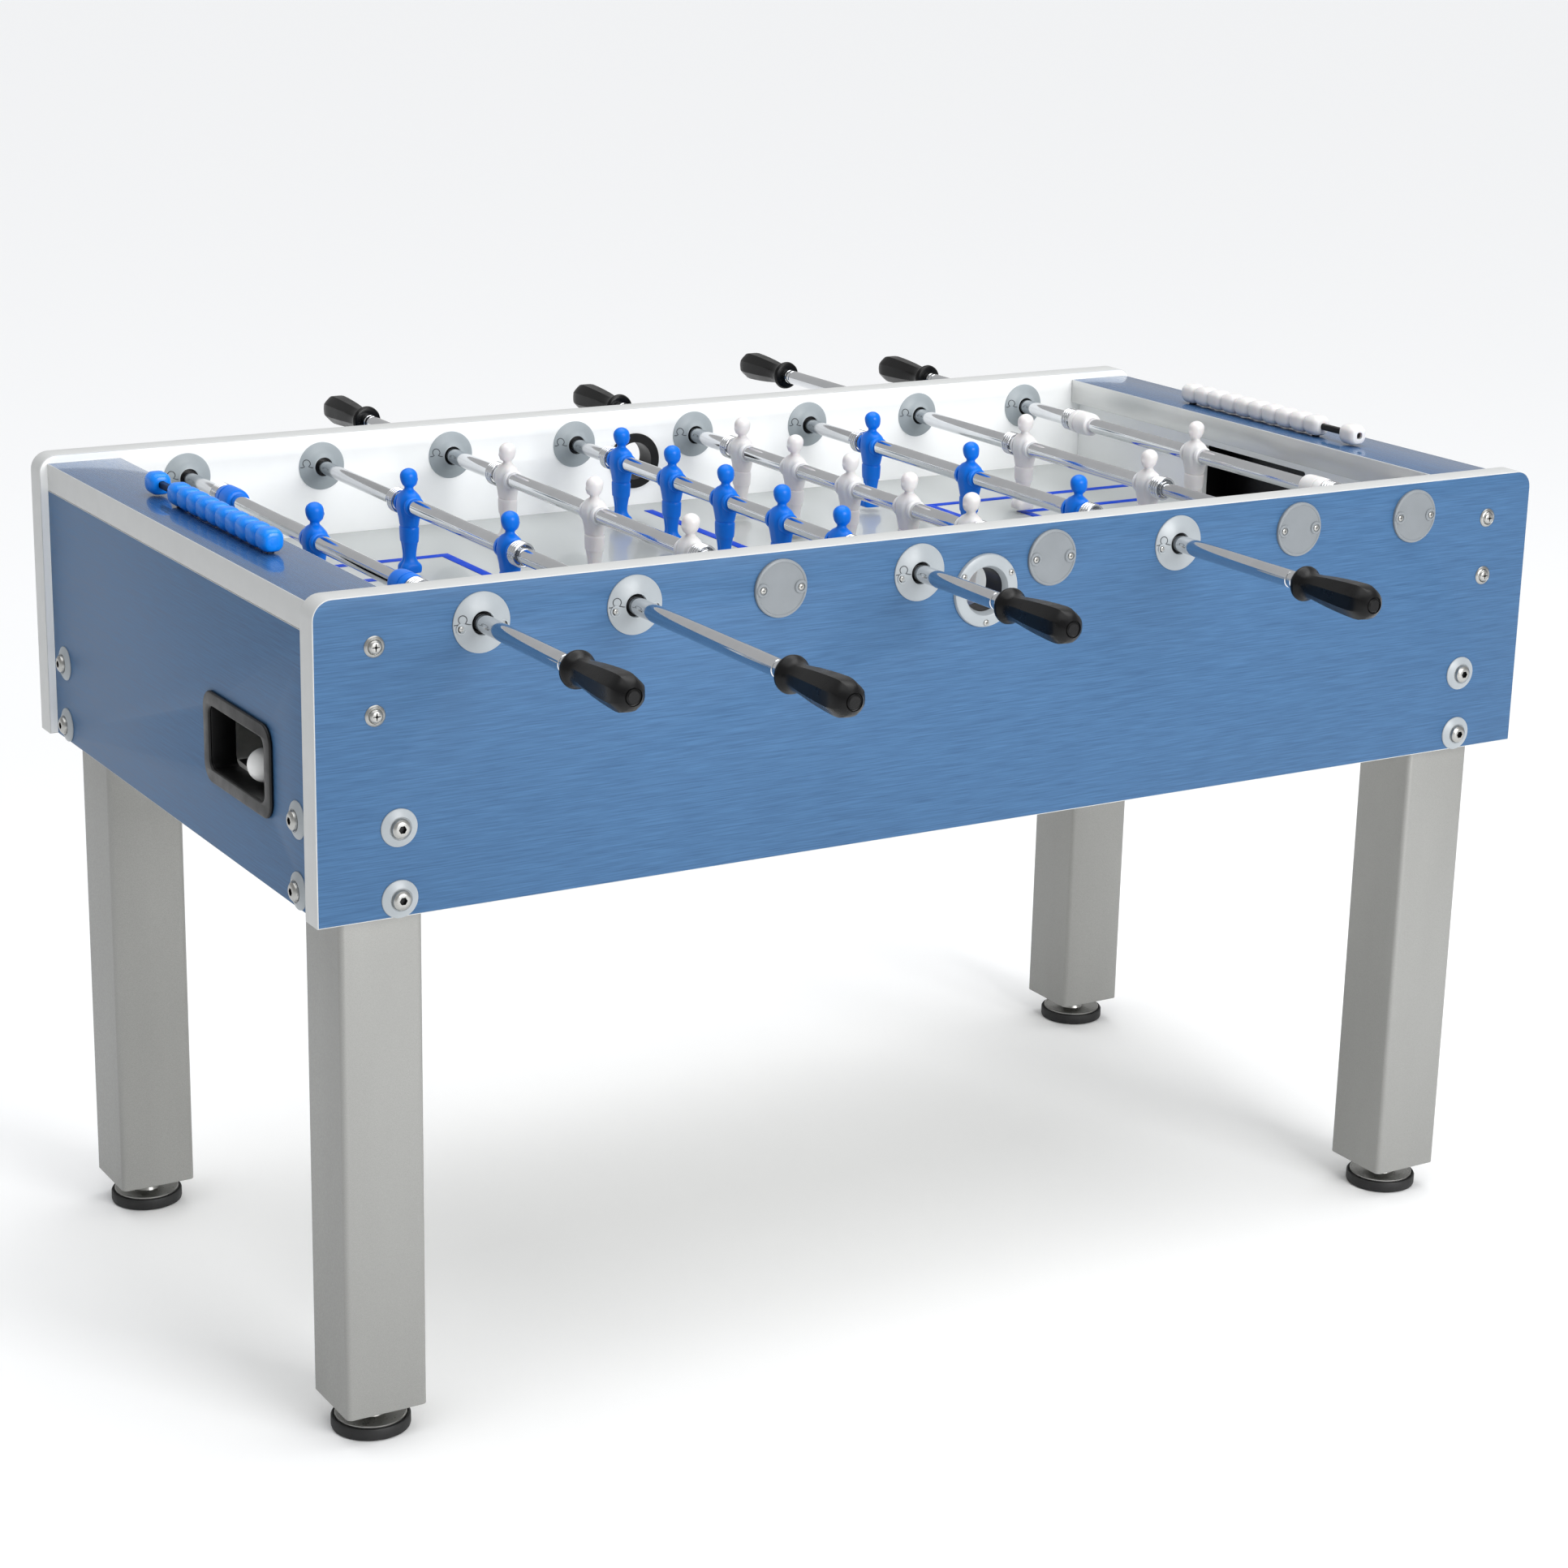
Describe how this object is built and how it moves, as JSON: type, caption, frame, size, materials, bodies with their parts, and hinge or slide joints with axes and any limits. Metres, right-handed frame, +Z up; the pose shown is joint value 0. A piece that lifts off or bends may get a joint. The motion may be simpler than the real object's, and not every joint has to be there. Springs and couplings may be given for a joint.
{
  "type": "foosball table",
  "caption": "Table football game with a blue panelled cabinet, telescopic player rods with grips, sliding score beads, end goals, ball trays and square legs on levelling feet.",
  "frame": {"origin": "on the floor under the middle of the table", "axes": "+Z up, +X along the table towards the goal that the blue team attacks, -Y towards the long side with the blue team's handles"},
  "size_m": [1.5, 1.614, 0.9065],
  "materials": {
    "blue_laminate": "blue laminated board with a fine brushed horizontal grain, satin",
    "edge_band": "off-white plastic edge band, satin",
    "inner_white": "white laminated board, satin",
    "field_glass": "light grey laminated playing surface with dark blue markings, gloss",
    "leg_coat": "silver-grey powder coat",
    "chrome_tube": "chrome-plated steel tube",
    "steel_bar": "ground steel bar",
    "black_grip": "black moulded grip, satin",
    "blue_figure": "blue moulded plastic, satin gloss",
    "white_figure": "white moulded plastic, satin gloss",
    "grey_bearing": "silver-grey moulded nylon bearing, satin",
    "screw_steel": "bright plated steel screws and washers",
    "black_plastic": "black moulded plastic, satin"
  },
  "bodies": {
    "cabinet": {"side_panel_front": "blue_laminate", "side_panel_back": "blue_laminate", "end_panel_left": "blue_laminate", "end_panel_right": "blue_laminate", "end_top_left": "blue_laminate", "end_top_right": "blue_laminate", "playfield": "field_glass", "return_floor": "inner_white", "leg_front_left": "leg_coat", "leg_front_right": "leg_coat", "leg_back_left": "leg_coat", "leg_back_right": "leg_coat"},
    "guide_bar_1": {"guide_bar_1": "steel_bar"},
    "rod_1": {"tube_1": "chrome_tube", "handle_1": "black_grip", "player_1_1": "blue_figure"},
    "guide_bar_2": {"guide_bar_2": "steel_bar"},
    "rod_2": {"tube_2": "chrome_tube", "handle_2": "black_grip", "player_2_1": "blue_figure", "player_2_2": "blue_figure"},
    "guide_bar_3": {"guide_bar_3": "steel_bar"},
    "rod_3": {"tube_3": "chrome_tube", "handle_3": "black_grip", "player_3_1": "white_figure", "player_3_2": "white_figure", "player_3_3": "white_figure"},
    "guide_bar_4": {"guide_bar_4": "steel_bar"},
    "rod_4": {"tube_4": "chrome_tube", "handle_4": "black_grip", "player_4_1": "blue_figure", "player_4_2": "blue_figure", "player_4_3": "blue_figure", "player_4_4": "blue_figure", "player_4_5": "blue_figure"},
    "guide_bar_5": {"guide_bar_5": "steel_bar"},
    "rod_5": {"tube_5": "chrome_tube", "handle_5": "black_grip", "player_5_1": "white_figure", "player_5_2": "white_figure", "player_5_3": "white_figure", "player_5_4": "white_figure", "player_5_5": "white_figure"},
    "guide_bar_6": {"guide_bar_6": "steel_bar"},
    "rod_6": {"tube_6": "chrome_tube", "handle_6": "black_grip", "player_6_1": "blue_figure", "player_6_2": "blue_figure", "player_6_3": "blue_figure"},
    "guide_bar_7": {"guide_bar_7": "steel_bar"},
    "rod_7": {"tube_7": "chrome_tube", "handle_7": "black_grip", "player_7_1": "white_figure", "player_7_2": "white_figure"},
    "guide_bar_8": {"guide_bar_8": "steel_bar"},
    "rod_8": {"tube_8": "chrome_tube", "handle_8": "black_grip", "player_8_1": "white_figure"},
    "score_bead_left": {"score_bead_left": "blue_figure"},
    "score_bead_right": {"score_bead_right": "white_figure"}
  },
  "joints": [
    {"name": "rod_1_spin", "type": "hinge", "parent": "cabinet", "child": "guide_bar_1", "pos_m": [-0.5775, 0, 0.852], "axis": [0, 1, 0], "continuous": true},
    {"name": "rod_1_slide", "type": "slide", "parent": "guide_bar_1", "child": "rod_1", "axis": [0, 1, 0], "range_m": [-0.09, 0.09]},
    {"name": "rod_2_spin", "type": "hinge", "parent": "cabinet", "child": "guide_bar_2", "pos_m": [-0.4125, 0, 0.852], "axis": [0, 1, 0], "continuous": true},
    {"name": "rod_2_slide", "type": "slide", "parent": "guide_bar_2", "child": "rod_2", "axis": [0, 1, 0], "range_m": [-0.2, 0.2]},
    {"name": "rod_3_spin", "type": "hinge", "parent": "cabinet", "child": "guide_bar_3", "pos_m": [-0.2475, 0, 0.852], "axis": [0, 1, 0], "continuous": true},
    {"name": "rod_3_slide", "type": "slide", "parent": "guide_bar_3", "child": "rod_3", "axis": [0, 1, 0], "range_m": [-0.11, 0.11]},
    {"name": "rod_4_spin", "type": "hinge", "parent": "cabinet", "child": "guide_bar_4", "pos_m": [-0.0825, 0, 0.852], "axis": [0, 1, 0], "continuous": true},
    {"name": "rod_4_slide", "type": "slide", "parent": "guide_bar_4", "child": "rod_4", "axis": [0, 1, 0], "range_m": [-0.078, 0.078]},
    {"name": "rod_5_spin", "type": "hinge", "parent": "cabinet", "child": "guide_bar_5", "pos_m": [0.0825, 0, 0.852], "axis": [0, 1, 0], "continuous": true},
    {"name": "rod_5_slide", "type": "slide", "parent": "guide_bar_5", "child": "rod_5", "axis": [0, 1, 0], "range_m": [-0.078, 0.078]},
    {"name": "rod_6_spin", "type": "hinge", "parent": "cabinet", "child": "guide_bar_6", "pos_m": [0.2475, 0, 0.852], "axis": [0, 1, 0], "continuous": true},
    {"name": "rod_6_slide", "type": "slide", "parent": "guide_bar_6", "child": "rod_6", "axis": [0, 1, 0], "range_m": [-0.11, 0.11]},
    {"name": "rod_7_spin", "type": "hinge", "parent": "cabinet", "child": "guide_bar_7", "pos_m": [0.4125, 0, 0.852], "axis": [0, 1, 0], "continuous": true},
    {"name": "rod_7_slide", "type": "slide", "parent": "guide_bar_7", "child": "rod_7", "axis": [0, 1, 0], "range_m": [-0.2, 0.2]},
    {"name": "rod_8_spin", "type": "hinge", "parent": "cabinet", "child": "guide_bar_8", "pos_m": [0.5775, 0, 0.852], "axis": [0, 1, 0], "continuous": true},
    {"name": "rod_8_slide", "type": "slide", "parent": "guide_bar_8", "child": "rod_8", "axis": [0, 1, 0], "range_m": [-0.09, 0.09]},
    {"name": "score_bead_left_slide", "type": "slide", "parent": "cabinet", "child": "score_bead_left", "axis": [0, -1, 0], "range_m": [0, 0.04]},
    {"name": "score_bead_right_slide", "type": "slide", "parent": "cabinet", "child": "score_bead_right", "axis": [0, 1, 0], "range_m": [0, 0.04]}
  ]
}
